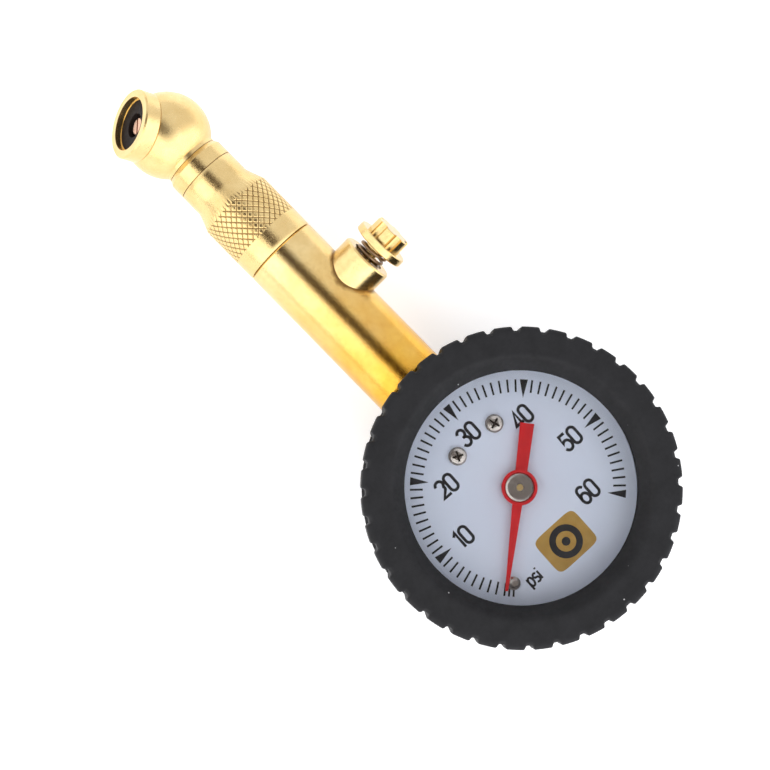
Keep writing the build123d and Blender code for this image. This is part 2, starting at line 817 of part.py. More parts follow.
def swivel_clip():
    """A split ring in the shank's groove that keeps the ball in the sleeve."""
    body = ring(4.52, 3.12, 74.15, 75.09)
    gap = block(0, 6.24, -0.73, 0.73, 73.84, 75.92)
    return STEM * (body - gap)


def swivel_o_ring():
    torus = Pos(0, 0, 72.18) * Torus(3.16, 0.52)
    return STEM * torus


def ball_body():
    shank = turned([
        (0, 70.3),
        (SHANK_R - 0.31, 70.3),
        (SHANK_R, 70.62),
        (SHANK_R, 71.55),
        (2.64, 71.55),
        (2.64, 72.8),
        (SHANK_R, 72.8),
        (SHANK_R, 74.15),
        (3.12, 74.15),
        (3.12, 75.09),
        (SHANK_R, 75.09),
        (SHANK_R, RING_END + 0.1),
        (5.15, RING_END + 0.1),
        (5.15, 81.74),
        (0, 81.74),
    ], STEM)
    ball = Pos(0, BALL_Y, STEM_Z) * Sphere(BALL_R)
    beyond = rod(BALL_R + 1, COLLAR_SEAT, BALL_R + 2, MOUTH)
    below = rod(BALL_R, BALL_Y - BALL_R - 1, RING_END + 0.1, STEM)
    body = shank + (ball - beyond - below)
    body = body - rod(1.56, 69.68, BALL_Y, STEM)
    body = body - rod(1.56, 0, 2.6, MOUTH)
    body = body - rod(3.85, 1.66, 2.29, MOUTH)
    return body - rod(5.2, 2.29, COLLAR_SEAT, MOUTH)


def mouth_collar():
    edge = 0.26
    outline = [
        (4.58, 3.12),
        (5.2, 3.12),
        (5.2, COLLAR_SEAT),
        (COLLAR_R - edge, COLLAR_SEAT),
        (COLLAR_R, COLLAR_SEAT + edge),
        (COLLAR_R, MOUTH_FACE - edge),
        (COLLAR_R - edge, MOUTH_FACE),
        (MOUTH_BORE_R, MOUTH_FACE),
        (MOUTH_BORE_R, MOUTH_STEP),
        (4.58, MOUTH_STEP),
    ]
    return turned(outline, MOUTH)


def mouth_washer():
    return ring(4.58, 2.18, 3.12, MOUTH_STEP, MOUTH)


def deflator_pin():
    """A slotted pin on a drilled base disc, clamped under the collar."""
    body = turned([
        (0, 2.29), (5.1, 2.29), (5.1, 3.12), (0.99, 3.12), (0.99, 5.1), (1.61, 5.1), (1.61, 5.82), (1.4, 6.03), (0, 6.03),
    ])
    holes = 3
    for index in range(holes):
        body = body - rod(0.62, 2.29, 3.12, at=polar(1.61, index * 360 / holes))
    slot = block(-2, 2, -0.23, 0.23, 5.46, 6.76)
    return MOUTH * (body - Rot(0, 0, 35) * slot)


# ---------------------------------------------------------------- export
NODES = [
    rubber_boot, gauge_case, bezel_ring, lens, lens_gasket,
    dial_plate, dial_screws, stop_pin, pointer, pointer_cap,
    pinion_arbor, hairspring, hairspring_stud,
    movement_back_plate, movement_front_plate, movement_pillars, movement_screws, plate_screws,
    sector_gear, sector_arbor, sector_link_pin, link, tip_link_pin, bourdon_tube, tube_tip,
    socket_block, case_screws, stem_tube, stem_seal_washer, sleeve_seal_washer,
    bleed_housing, bleed_button, bleed_poppet, bleed_seal, bleed_spring,
    knurled_sleeve, check_retainer, check_poppet, check_seal, check_spring,
    swivel_gland_ring, swivel_clip, swivel_o_ring, ball_body,
    mouth_collar, mouth_washer, deflator_pin,
]

for node in NODES:
    export_step(node(), f"parts/{node.__name__}.step")
    print(node.__name__)
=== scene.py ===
# %% [markdown]
# # A dial tire pressure gauge
#
# The real tool is a small round dial gauge in a rubber boot that looks like a car tire, a
# turned brass stem with a push-button bleed valve, and a ball chuck that swivels on the end.
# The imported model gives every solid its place. This lesson gives those solids their finishes,
# and replaces the few whose surface is more than a turned shape: the boot with its tread, and
# the knurled sleeve. The print on the dial is added as thin ink shapes.

import math

import bpy
import numpy as np
from mathutils import Matrix, Vector


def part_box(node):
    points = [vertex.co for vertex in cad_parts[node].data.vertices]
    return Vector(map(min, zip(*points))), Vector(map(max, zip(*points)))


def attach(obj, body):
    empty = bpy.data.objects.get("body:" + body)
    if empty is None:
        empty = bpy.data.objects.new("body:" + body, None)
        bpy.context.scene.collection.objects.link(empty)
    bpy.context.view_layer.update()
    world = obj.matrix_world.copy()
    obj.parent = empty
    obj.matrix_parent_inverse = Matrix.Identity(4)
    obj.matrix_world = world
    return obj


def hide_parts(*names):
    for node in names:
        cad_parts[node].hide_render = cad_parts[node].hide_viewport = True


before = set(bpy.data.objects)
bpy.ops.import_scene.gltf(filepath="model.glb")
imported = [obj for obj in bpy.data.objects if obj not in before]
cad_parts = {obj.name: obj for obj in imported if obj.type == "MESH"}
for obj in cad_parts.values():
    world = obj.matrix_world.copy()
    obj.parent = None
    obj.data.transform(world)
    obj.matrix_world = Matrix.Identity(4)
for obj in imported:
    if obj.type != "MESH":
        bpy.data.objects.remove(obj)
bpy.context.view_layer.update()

# %% [markdown]
# ## Millimetres
#
# Blender's scene is in metres, but a gauge is thought of in millimetres. Every formula below
# works in millimetres, and one helper converts at the moment a mesh is made. The main sizes are
# read from the solids, so a piece can't drift away from its neighbour.

# %% Sizes read from the solids
MM = 0.001


def box_mm(node):
    """Lowest and highest corner of a solid, in millimetres."""
    low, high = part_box(node)
    return np.array(low) / MM, np.array(high) / MM


boot_low, boot_high = box_mm("rubber_boot")
tube_low, tube_high = box_mm("stem_tube")
sleeve_low, _ = box_mm("knurled_sleeve")
_, dial_high = box_mm("dial_plate")
boot_r = (boot_high[0] - boot_low[0]) / 2
boot_depth = boot_high[2]
tube_r = (tube_high[0] - tube_low[0]) / 2
stem_z = (tube_high[2] + tube_low[2]) / 2
dial_top = dial_high[2]
print("boot radius", round(boot_r, 2), "tube radius", round(tube_r, 2), "stem height", round(stem_z, 2))

# %% [markdown]
# ## A mesh from arrays
#
# Every new piece here is an array of points and a list of faces, worked out at once and handed to
# Blender once. Adding points one by one in Blender's own editor would give the same shape, but
# the formula would be hidden. The second helper writes the faces of a grid that closes on itself,
# as a turned part does.


# %% Mesh and grid helpers
def mesh_from_arrays(name, points, faces, smooth=True):
    """Makes an object at the origin from points in millimetres and a list of faces."""
    mesh = bpy.data.meshes.new(name)
    mesh.from_pydata(np.asarray(points) * MM, [], faces)
    mesh.polygons.foreach_set("use_smooth", np.full(len(mesh.polygons), smooth))
    mesh.update()
    piece = bpy.data.objects.new(name, mesh)
    bpy.context.scene.collection.objects.link(piece)
    return piece


def closed_grid_faces(rows, columns):
    """Quads of a rows x columns grid whose last column joins the first."""
    row = np.arange(rows - 1)[:, None]
    column = np.arange(columns)[None, :]
    beside = (column + 1) % columns
    corners = [
        row * columns + column,
        row * columns + beside,
        (row + 1) * columns + beside,
        (row + 1) * columns + column,
    ]
    return np.stack([c + 0 * row for c in corners], axis=-1).reshape(-1, 4)


print("a grid of 3 rows and 8 columns has", len(closed_grid_faces(3, 8)), "quads")

# %% [markdown]
# ## Small shader helpers
#
# The finishes share a few effects: slow mottling, a fine grain, and dust. Each is a node group
# with named sockets, so a material reads like a recipe. The groups give colours and masks only;
# the Principled shader stays in each material.


# %% Group and node helpers
def new_group(name, inputs, outputs):
    """An empty node group with (name, kind, default) inputs and (name, kind) outputs."""
    group = bpy.data.node_groups.new(name, "ShaderNodeTree")
    for label, kind, value in inputs:
        socket = group.interface.new_socket(name=label, in_out="INPUT", socket_type=kind)
        if value is not None:
            socket.default_value = value
    for label, kind in outputs:
        group.interface.new_socket(name=label, in_out="OUTPUT", socket_type=kind)
    start = group.nodes.new("NodeGroupInput")
    end = group.nodes.new("NodeGroupOutput")
    return group, start, end


def node(tree, kind, **values):
    """A node with its properties and its input defaults set by name."""
    made = tree.nodes.new(kind)
    for key, value in values.items():
        if hasattr(made, key):
            setattr(made, key, value)
        else:
            made.inputs[key.replace("_", " ")].default_value = value
    return made


print("helpers ready: new_group, node")

# %% [markdown]
# ## Five steps of a texture
#
# Nearly every cast, turned or worn surface can be said in five steps: a noise, a range that keeps
# a part of it, a sum, a mix of two tones, and a bump. Written as small functions they can be
# chained like arithmetic, which is easier to read than a picture of forty linked nodes.


# %% Texture steps
def noise(tree, coordinates, scale, detail=2.0, roughness=0.5):
    """A noise texture whose features are about 1000/scale millimetres across."""
    made = node(tree, "ShaderNodeTexNoise", Scale=scale, Detail=detail, Roughness=roughness)
    tree.links.new(coordinates, made.inputs["Vector"])
    return made.outputs["Fac"]


def spread(tree, value, low, high, out_low=0.0, out_high=1.0):
    """Maps low..high to out_low..out_high and holds it there."""
    made = node(tree, "ShaderNodeMapRange", clamp=True)
    made.inputs["From Min"].default_value = low
    made.inputs["From Max"].default_value = high
    made.inputs["To Min"].default_value = out_low
    made.inputs["To Max"].default_value = out_high
    tree.links.new(value, made.inputs["Value"])
    return made.outputs["Result"]


def mixed(tree, share, first, second):
    """A colour between two others; each is a socket or a plain colour."""
    made = node(tree, "ShaderNodeMix", data_type="RGBA")
    for source, target in ((share, made.inputs[0]), (first, made.inputs[6]), (second, made.inputs[7])):
        if isinstance(source, bpy.types.NodeSocket):
            tree.links.new(source, target)
        else:
            target.default_value = source
    return made.outputs[2]


def maths(tree, operation, first, second=None):
    """One arithmetic step on sockets or numbers."""
    made = node(tree, "ShaderNodeMath", operation=operation)
    for source, target in zip((first, second), made.inputs):
        if isinstance(source, bpy.types.NodeSocket):
            tree.links.new(source, target)
        elif source is not None:
            target.default_value = source
    return made.outputs[0]


def bump(tree, height, strength, distance_mm, normal=None):
    """Turns a height mask into a normal."""
    made = node(tree, "ShaderNodeBump", Strength=strength, Distance=distance_mm * MM)
    tree.links.new(height, made.inputs["Height"])
    if normal is not None:
        tree.links.new(normal, made.inputs["Normal"])
    return made.outputs["Normal"]


print("texture steps ready: noise, spread, mixed, maths, bump")

# %% [markdown]
# ## An empty material
#
# A finish starts as a Principled shader whose plain values are set on its own sockets, and with
# Object coordinates, so that a pattern stays on its piece when the piece moves. The second helper
# places one of the shared groups in it and sets that group's values.


# %% Material helpers
def new_material(name, color, metallic, roughness):
    """A material with a Principled shader, its plain values set, and Object coordinates ready."""
    material = bpy.data.materials.new(name)
    material.use_nodes = True
    tree = material.node_tree
    shader = tree.nodes["Principled BSDF"]
    shader.inputs["Base Color"].default_value = (*color, 1)
    shader.inputs["Metallic"].default_value = metallic
    shader.inputs["Roughness"].default_value = roughness
    where = tree.nodes.new("ShaderNodeTexCoord").outputs["Object"]
    return material, tree, shader, where


def place_group(tree, group, where, **values):
    """Puts a group into a material and sets its named inputs."""
    made = tree.nodes.new("ShaderNodeGroup")
    made.node_tree = group
    tree.links.new(where, made.inputs["Place"])
    for key, value in values.items():
        target = made.inputs[key.replace("_", " ")]
        if isinstance(value, bpy.types.NodeSocket):
            tree.links.new(value, target)
        else:
            target.default_value = value
    return made


print("material helpers ready: new_material, place_group")

# %% [markdown]
# ## Mottled metal
#
# Brass that was tumbled and then handled is never one tone: it clouds over a few millimetres, and
# its surface is finely pitted. One group makes both from layered noise, slow for the clouds,
# quicker for the blotches, and fine for the pits. A scanned texture would show its repeats.


# %% The mottle group
def make_mottle_group():
    """Cloudy tone (slow noise), blotches (middle noise) and a fine grain for bump."""
    group, start, end = new_group(
        "mottled metal",
        [
            ("Place", "NodeSocketVector", None),
            ("Light tone", "NodeSocketColor", (0.8, 0.6, 0.3, 1)),
            ("Deep tone", "NodeSocketColor", (0.6, 0.4, 0.1, 1)),
            ("Polish", "NodeSocketFloat", 0.25),
            ("Tarnish", "NodeSocketFloat", 0.05),
        ],
        [
            ("Color", "NodeSocketColor"),
            ("Roughness", "NodeSocketFloat"),
            ("Grain", "NodeSocketFloat"),
        ],
    )
    place = start.outputs["Place"]
    cloud = spread(group, noise(group, place, 240.0, 3.0, 0.55), 0.3, 0.75, 0.0, 0.6)
    blotch = spread(group, noise(group, place, 1100.0, 3.0, 0.6), 0.45, 0.75)
    grain = noise(group, place, 2800.0, 4.0, 0.7)
    tone = mixed(group, cloud, start.outputs["Light tone"], start.outputs["Deep tone"])
    freckle = maths(group, "MULTIPLY", blotch, 0.22)
    tone = mixed(group, freckle, tone, start.outputs["Deep tone"])
    group.links.new(tone, end.inputs["Color"])
    worn = maths(group, "MULTIPLY", blotch, start.outputs["Tarnish"])
    rough = maths(group, "ADD", worn, start.outputs["Polish"])
    fine = maths(group, "MULTIPLY", grain, 0.12)
    rough = maths(group, "ADD", rough, fine)
    group.links.new(rough, end.inputs["Roughness"])
    group.links.new(grain, end.inputs["Grain"])
    return group


mottle = make_mottle_group()
print("shader group:", mottle.name)

# %% [markdown]
# ## Dust
#
# Rubber picks up pale dust. The group scatters cells, keeps the few whose random colour is past a
# limit, and marks only the middle of each. Noise alone would give clouds instead of grains.


# %% The dust group
def make_dust_group():
    """Small scattered specks: cells of a Voronoi pattern, only the rarest kept."""
    group, start, end = new_group(
        "dust specks",
        [
            ("Place", "NodeSocketVector", None),
            ("Speck scale", "NodeSocketFloat", 600.0),
            ("Rarity", "NodeSocketFloat", 0.95),
        ],
        [("Mask", "NodeSocketFloat")],
    )
    cells = node(group, "ShaderNodeTexVoronoi")
    group.links.new(start.outputs["Place"], cells.inputs["Vector"])
    group.links.new(start.outputs["Speck scale"], cells.inputs["Scale"])
    near = spread(group, cells.outputs["Distance"], 0.06, 0.14, 1.0, 0.0)
    split = node(group, "ShaderNodeSeparateColor")
    group.links.new(cells.outputs["Color"], split.inputs["Color"])
    kept = maths(group, "GREATER_THAN", split.outputs["Red"], start.outputs["Rarity"])
    group.links.new(maths(group, "MULTIPLY", near, kept), end.inputs["Mask"])
    return group


dust = make_dust_group()
print("shader group:", dust.name)

# %% [markdown]
# ## A dark ring round the boss
#
# The bleed boss is brazed to the tube, leaning a little upwards, and the tube is darkened in a ring
# round its foot. The group measures how far a point is from the boss's axis: the length of the
# cross product of its offset with the axis's direction. A painted ring would need a UV map.

# %% The boss ring group
BOSS_LEAN = math.radians(17)
BOSS_R = 4.8
BOSS_Y = 46.35


def make_boss_ring_group():
    """A dark ring round the brazed boss: near its edge, measured from its leaning axis."""
    group, start, end = new_group(
        "boss ring", [("Place", "NodeSocketVector", None)], [("Mask", "NodeSocketFloat")]
    )
    offset = node(group, "ShaderNodeVectorMath", operation="SUBTRACT")
    group.links.new(start.outputs["Place"], offset.inputs[0])
    offset.inputs[1].default_value = (0, BOSS_Y * MM, stem_z * MM)
    across = node(group, "ShaderNodeVectorMath", operation="CROSS_PRODUCT")
    group.links.new(offset.outputs[0], across.inputs[0])
    across.inputs[1].default_value = (math.cos(BOSS_LEAN), 0, math.sin(BOSS_LEAN))
    away = node(group, "ShaderNodeVectorMath", operation="LENGTH")
    group.links.new(across.outputs[0], away.inputs[0])
    ragged = maths(group, "MULTIPLY", noise(group, start.outputs["Place"], 500.0, 3.0), 1.1 * MM)
    away = maths(group, "SUBTRACT", away.outputs["Value"], ragged)
    edge = spread(group, away, (BOSS_R - 0.35) * MM, (BOSS_R + 0.25) * MM, 0.9, 0.0)
    side = node(group, "ShaderNodeSeparateXYZ")
    group.links.new(offset.outputs[0], side.inputs["Vector"])
    facing = maths(group, "GREATER_THAN", side.outputs["X"], 0.0)
    group.links.new(maths(group, "MULTIPLY", edge, facing), end.inputs["Mask"])
    return group


boss_ring = make_boss_ring_group()
print("shader group:", boss_ring.name, "at radius", BOSS_R)

# %% [markdown]
# ## Brass
#
# All the brass is the same pale, satin alloy, but the part of the stem near the boot was heated
# when the boss was brazed on, and has turned a warmer orange there. A mask along the stem blends
# the two. The small parts were turned separately, so they keep the paler tone and get faint
# turning lines: a noise squeezed along the stem.

# %% Brass
PALE = (0.82, 0.62, 0.29, 1)
DEEP = (0.66, 0.44, 0.155, 1)
WARM = (0.80, 0.47, 0.075, 1)
WARM_DEEP = (0.66, 0.29, 0.025, 1)
DARK_BROWN = (0.16, 0.075, 0.018, 1)
HEAT_FROM = 36.0
HEAT_TO = 62.0
HEAT_WOBBLE = 14.0


def make_brass(name, polish, warm=False, lines=0.0, grooves=False):
    """Mottled brass; warm adds heat colour along the stem, lines turning marks, grooves darker knurl
    grooves.
    """
    material, tree, shader, where = new_material(name, PALE[:3], 1.0, polish)
    light, deep = PALE, DEEP
    if warm:
        axes = node(tree, "ShaderNodeSeparateXYZ")
        tree.links.new(where, axes.inputs["Vector"])
        wobble = maths(tree, "MULTIPLY", noise(tree, where, 180.0, 2.0), HEAT_WOBBLE * MM)
        along = maths(tree, "ADD", axes.outputs["Y"], wobble)
        heat = spread(tree, along, HEAT_FROM * MM, HEAT_TO * MM, 1.0, 0.0)
        light = mixed(tree, heat, PALE, WARM)
        deep = mixed(tree, heat, DEEP, WARM_DEEP)
    metal = place_group(tree, mottle, where, Light_tone=light, Deep_tone=deep, Polish=polish)
    color = metal.outputs["Color"]
    if warm:
        # A dark ring round the boss's foot is mixed into the stem's colour.
        boss_foot_ring = place_group(tree, boss_ring, where)
        color = mixed(tree, boss_foot_ring.outputs["Mask"], color, DARK_BROWN)
    if grooves:
        # Where the knurl's grooves are deep, the colour is mixed towards dark brown.
        mask = node(tree, "ShaderNodeAttribute", attribute_name="groove")
        color = mixed(tree, spread(tree, mask.outputs["Fac"], 0.15, 0.8, 0.0, 0.85), color, DARK_BROWN)
    tree.links.new(color, shader.inputs["Base Color"])
    tree.links.new(metal.outputs["Roughness"], shader.inputs["Roughness"])
    normal = bump(tree, metal.outputs["Grain"], 0.8, 0.03)
    if lines:
        rings = node(tree, "ShaderNodeTexNoise", Scale=1.0, Detail=3.0)
        stretch = node(tree, "ShaderNodeMapping")
        stretch.inputs["Scale"].default_value = (60.0, 9000.0, 60.0)
        tree.links.new(where, stretch.inputs["Vector"])
        tree.links.new(stretch.outputs["Vector"], rings.inputs["Vector"])
        normal = bump(tree, rings.outputs["Fac"], lines, 0.01, normal)
    tree.links.new(normal, shader.inputs["Normal"])
    return material


print("heat colour fades between", HEAT_FROM, "and", HEAT_TO, "mm along the stem")

# %% [markdown]
# ## Four brass finishes
#
# One function gives four finishes that differ only in polish and in what is added: heat on the
# stem, lines on the turned parts, nothing on the tumbled ball, and a darker tone in the knurl's grooves.

# %% Brass finishes
stem_brass = make_brass("stem brass", 0.13, warm=True)
turned_brass = make_brass("turned brass", 0.15, lines=0.1)
ball_brass = make_brass("tumbled brass", 0.22)
knurl_brass = make_brass("knurled brass", 0.17, grooves=True)
print("brass finishes:", stem_brass.name, turned_brass.name, ball_brass.name, knurl_brass.name)

# %% [markdown]
# ## Rubber
#
# The boot is moulded rubber: nearly black, dull, with a fine leathery skin and a few specks. The
# seals are the same without the specks, and the two flat washers are red pressed fibre.


# %% Rubber finishes
def make_rubber(name, tone, specks):
    """Dull rubber: two noise scales in the skin and optional dust."""
    material, tree, shader, where = new_material(name, tone, 0.0, 0.7)
    shader.inputs["Specular IOR Level"].default_value = 0.22
    cloud = spread(tree, noise(tree, where, 300.0, 3.0), 0.3, 0.7)
    lighter = tuple(min(1.0, c * 1.45) for c in tone)
    color = mixed(tree, cloud, (*tone, 1), (*lighter, 1))
    if specks:
        spots = place_group(tree, dust, where, Speck_scale=900.0, Rarity=0.955)
        color = mixed(tree, spots.outputs["Mask"], color, (0.5, 0.5, 0.5, 1))
    tree.links.new(color, shader.inputs["Base Color"])
    dull = spread(tree, noise(tree, where, 1400.0, 2.0), 0.2, 0.8, 0.55, 0.75)
    tree.links.new(dull, shader.inputs["Roughness"])
    skin = noise(tree, where, 3200.0, 3.0, 0.6)
    tree.links.new(bump(tree, skin, 0.4, 0.03), shader.inputs["Normal"])
    return material


boot_rubber = make_rubber("boot rubber", (0.0105, 0.0105, 0.0115), True)
seal_rubber = make_rubber("seal rubber", (0.010, 0.006, 0.005), False)
fibre = make_rubber("red fibre", (0.32, 0.07, 0.045), False)
print("rubber finishes:", boot_rubber.name, seal_rubber.name, fibre.name)

# %% [markdown]
# ## Shade in a recess
#
# The cross in a screw's head is dark because dirt and shade gather in it. The group marks what
# lies close to either of two upright axes and below a level, so the cross is found by its depth,
# and no drawing of a cross is needed.


# %% The pocket group
def make_pocket_group():
    """Marks what lies close to either of two upright axes and below a level."""
    group, start, end = new_group(
        "pocket shade",
        [
            ("Place", "NodeSocketVector", None),
            ("Axis A", "NodeSocketVector", None),
            ("Axis B", "NodeSocketVector", None),
            ("Reach", "NodeSocketFloat", 0.001),
            ("Level", "NodeSocketFloat", 0.02),
        ],
        [("Mask", "NodeSocketFloat")],
    )
    flat = node(group, "ShaderNodeVectorMath", operation="MULTIPLY")
    group.links.new(start.outputs["Place"], flat.inputs[0])
    flat.inputs[1].default_value = (1, 1, 0)
    gaps = []
    for label in ("Axis A", "Axis B"):
        gap = node(group, "ShaderNodeVectorMath", operation="DISTANCE")
        group.links.new(flat.outputs[0], gap.inputs[0])
        group.links.new(start.outputs[label], gap.inputs[1])
        gaps.append(gap.outputs["Value"])
    near = maths(group, "LESS_THAN", maths(group, "MINIMUM", *gaps), start.outputs["Reach"])
    axes = node(group, "ShaderNodeSeparateXYZ")
    group.links.new(start.outputs["Place"], axes.inputs["Vector"])
    low = maths(group, "LESS_THAN", axes.outputs["Z"], start.outputs["Level"])
    group.links.new(maths(group, "MULTIPLY", near, low), end.inputs["Mask"])
    return group


pocket = make_pocket_group()
print("shader group:", pocket.name)

# %% [markdown]
# ## Steel, nickel and the inner metals
#
# The pointer's cap and the stop pin are nickel-plated and scratched. Nobody sees the movement,
# but a part that may be opened should look right, so its brass, bronze and steel get finishes as
# well, from the same mottle group with other tones.


# %% Metal finishes
def make_metal(name, light, deep, polish, scratch=0.0, pockets=None):
    """Metal from the mottle group; pockets = (axis, axis, reach, level) darkens recesses, in mm."""
    material, tree, shader, where = new_material(name, light, 1.0, polish)
    metal = place_group(tree, mottle, where, Light_tone=(*light, 1), Deep_tone=(*deep, 1), Polish=polish)
    color = metal.outputs["Color"]
    if pockets:
        first, second, reach, level = pockets
        shade = place_group(tree, pocket, where, Reach=reach * MM, Level=level * MM)
        shade.inputs["Axis A"].default_value = (first[0] * MM, first[1] * MM, 0)
        shade.inputs["Axis B"].default_value = (second[0] * MM, second[1] * MM, 0)
        share = maths(tree, "MULTIPLY", shade.outputs["Mask"], 0.8)
        color = mixed(tree, share, color, (0.03, 0.025, 0.02, 1))
    tree.links.new(color, shader.inputs["Base Color"])
    tree.links.new(metal.outputs["Roughness"], shader.inputs["Roughness"])
    normal = bump(tree, metal.outputs["Grain"], 0.3 + scratch, 0.012)
    tree.links.new(normal, shader.inputs["Normal"])
    return material


nickel = make_metal("nickel plate", (0.60, 0.54, 0.48), (0.44, 0.38, 0.33), 0.16, 0.2)
steel = make_metal("drawn steel", (0.52, 0.52, 0.53), (0.36, 0.36, 0.37), 0.3)
movement_brass = make_metal("movement brass", (0.76, 0.57, 0.26), (0.58, 0.40, 0.16), 0.26)
bronze = make_metal("spring bronze", (0.62, 0.38, 0.2), (0.45, 0.25, 0.12), 0.28)
spring_wire = make_metal("spring wire", (0.34, 0.24, 0.16), (0.16, 0.10, 0.06), 0.25)
copper_pin = make_metal("pin copper", (0.86, 0.58, 0.42), (0.62, 0.36, 0.24), 0.3)
print("metal finishes:", nickel.name, steel.name, movement_brass.name, bronze.name)

# %% [markdown]
# ## The dial screws
#
# Two pan-head screws hold the dial, the same angle to each side of the line from the pivot to the
# stem. The print and the screws are turned a little clockwise on the plate. Their nickel is the
# same, with the recess darkened.

# %% Screw finish
PRINT_TURN = -2.8
SCREW_R = 11.65
SCREW_SPREAD = 21.2
SCREW_HEAD = 0.85
RECESS_R = 1.05


def on_circle(radius, degrees):
    """A point on a circle round the dial axis."""
    turn = math.radians(degrees)
    return (radius * math.cos(turn), radius * math.sin(turn))


screw_axes = [on_circle(SCREW_R, 90 + side * SCREW_SPREAD + PRINT_TURN) for side in (-1, 1)]
recess_level = dial_top + SCREW_HEAD - 0.12
recess = (*screw_axes, RECESS_R, recess_level)
screw_nickel = make_metal("screw nickel", (0.66, 0.60, 0.53), (0.46, 0.41, 0.36), 0.16, 0.2, recess)
print("screw axes in mm:", [[round(v, 2) for v in axis] for axis in screw_axes])

# %% [markdown]
# ## Paint and ink
#
# The dial is printed on a cool white plate with a faint orange-peel texture. The pointer is
# stamped metal dipped in red paint. Ink and badge are the same recipe in other tones: even paint
# needs little more than a slow change of tone and a soft bump.


# %% Paint finishes
def make_paint(name, light, deep, roughness, scale):
    """Even paint with a slow tone change and a faint orange peel."""
    material, tree, shader, where = new_material(name, light, 0.0, roughness)
    share = spread(tree, noise(tree, where, scale, 2.0), 0.3, 0.7)
    tree.links.new(mixed(tree, share, (*light, 1), (*deep, 1)), shader.inputs["Base Color"])
    tree.links.new(spread(tree, share, 0.0, 1.0, roughness, roughness + 0.08), shader.inputs["Roughness"])
    peel = noise(tree, where, 2200.0, 2.0)
    tree.links.new(bump(tree, peel, 0.15, 0.01), shader.inputs["Normal"])
    return material


dial_white = make_paint("dial white", (0.84, 0.89, 0.99), (0.80, 0.85, 0.96), 0.42, 90.0)
pointer_red = make_paint("pointer red", (0.76, 0.006, 0.010), (0.66, 0.004, 0.007), 0.34, 500.0)
ink_black = make_paint("printed black", (0.010, 0.010, 0.013), (0.018, 0.018, 0.02), 0.38, 900.0)
badge_gold = make_paint("printed gold", (0.56, 0.33, 0.07), (0.50, 0.28, 0.05), 0.34, 700.0)
print("paint finishes:", dial_white.name, pointer_red.name, ink_black.name, badge_gold.name)

# %% [markdown]
# ## The lens
#
# The lens is a clear moulded disc. It could be faked with a see-through shader, but real
# transmission bends and dims what lies behind it as plastic does, and costs little on one flat
# piece. A slow noise smears its gloss by a trace.


# %% Lens finish
def make_lens():
    """Clear plastic: plain transmission, with a faint smear in its roughness and surface."""
    material, tree, shader, where = new_material("clear lens", (0.96, 0.98, 1.0), 0.0, 0.0)
    shader.inputs["IOR"].default_value = 1.45
    shader.inputs["Transmission Weight"].default_value = 1.0
    haze = noise(tree, where, 160.0, 3.0)
    tree.links.new(spread(tree, haze, 0.3, 0.7, 0.0, 0.03), shader.inputs["Roughness"])
    tint = mixed(tree, haze, (0.95, 0.97, 1.0, 1), (0.98, 0.99, 1.0, 1))
    tree.links.new(tint, shader.inputs["Base Color"])
    tree.links.new(bump(tree, haze, 0.05, 0.01), shader.inputs["Normal"])
    return material


lens_clear = make_lens()
print("lens finish:", lens_clear.name)

# %% [markdown]
# ## Finishes on the solids
#
# Most solids are right as they stand and only need their finish. A table from finish to solids
# says this once, and a loop applies it. Setting each solid by hand would say the same in fifty
# lines and make it easy to miss one.

# %% Assign finishes
FINISH = {
    stem_brass: ["stem_tube"],
    turned_brass: ["bleed_housing", "bleed_button", "swivel_gland_ring", "mouth_collar", "bleed_poppet"],
    ball_brass: ["ball_body", "socket_block", "check_retainer", "check_poppet"],
    seal_rubber: ["mouth_washer", "swivel_o_ring", "bleed_seal", "check_seal", "lens_gasket"],
    fibre: ["stem_seal_washer", "sleeve_seal_washer"],
    screw_nickel: ["dial_screws"],
    nickel: ["stop_pin", "pointer_cap", "movement_screws", "plate_screws", "case_screws"],
    steel: ["gauge_case", "bezel_ring", "sector_arbor", "sector_link_pin", "tip_link_pin"],
    movement_brass: [
        "movement_back_plate", "movement_front_plate", "movement_pillars", "pinion_arbor",
        "hairspring_stud", "sector_gear", "link", "tube_tip",
    ],
    bronze: ["bourdon_tube", "hairspring"],
    spring_wire: ["bleed_spring", "check_spring", "swivel_clip"],
    copper_pin: ["deflator_pin"],
    dial_white: ["dial_plate"],
    pointer_red: ["pointer"],
    lens_clear: ["lens"],
    boot_rubber: ["rubber_boot"],
}


def finish_solid(name, material):
    """Gives a solid one material in all its slots."""
    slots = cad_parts[name].data.materials
    slots.clear()
    slots.append(material)


for material, names in FINISH.items():
    for name in names:
        finish_solid(name, material)
finish_solid("knurled_sleeve", turned_brass)
print("solids finished:", sum(len(names) for names in FINISH.values()) + 1)

# %% [markdown]
# ## Outlines
#
# A turned part is an outline carried round an axis. The outline is a short list of corners; one
# helper rounds a corner with a soft curve, and another walks the result in even steps, so that a
# pattern pressed into it has enough points. The third is the soft step that both patterns use.


# %% Outline helpers
def resample(outline, step):
    """Walks an outline of (radius, height) corners in even steps, keeping every corner."""
    outline = np.asarray(outline, float)
    walked = [outline[:1]]
    for start, end in zip(outline[:-1], outline[1:]):
        count = max(1, int(np.ceil(np.linalg.norm(end - start) / step)))
        share = np.linspace(0, 1, count + 1)[1:, None]
        walked.append(start + (end - start) * share)
    return np.concatenate(walked)


def rounded(outline, corner, size, steps=5):
    """Replaces one corner of an outline by a soft curve that starts and ends size away."""
    outline = [np.asarray(p, float) for p in outline]
    before, at, after = outline[corner - 1], outline[corner], outline[corner + 1]
    start = at + (before - at) / np.linalg.norm(before - at) * size
    end = at + (after - at) / np.linalg.norm(after - at) * size
    t = np.linspace(0, 1, steps + 1)[:, None]
    curve = (1 - t) ** 2 * start + 2 * t * (1 - t) * at + t**2 * end
    return outline[:corner] + list(curve) + outline[corner + 1:]


def smooth_step(value, low, high):
    """0 below low, 1 above high, an even S between."""
    t = np.clip((value - low) / (high - low), 0, 1)
    return t * t * (3 - 2 * t)


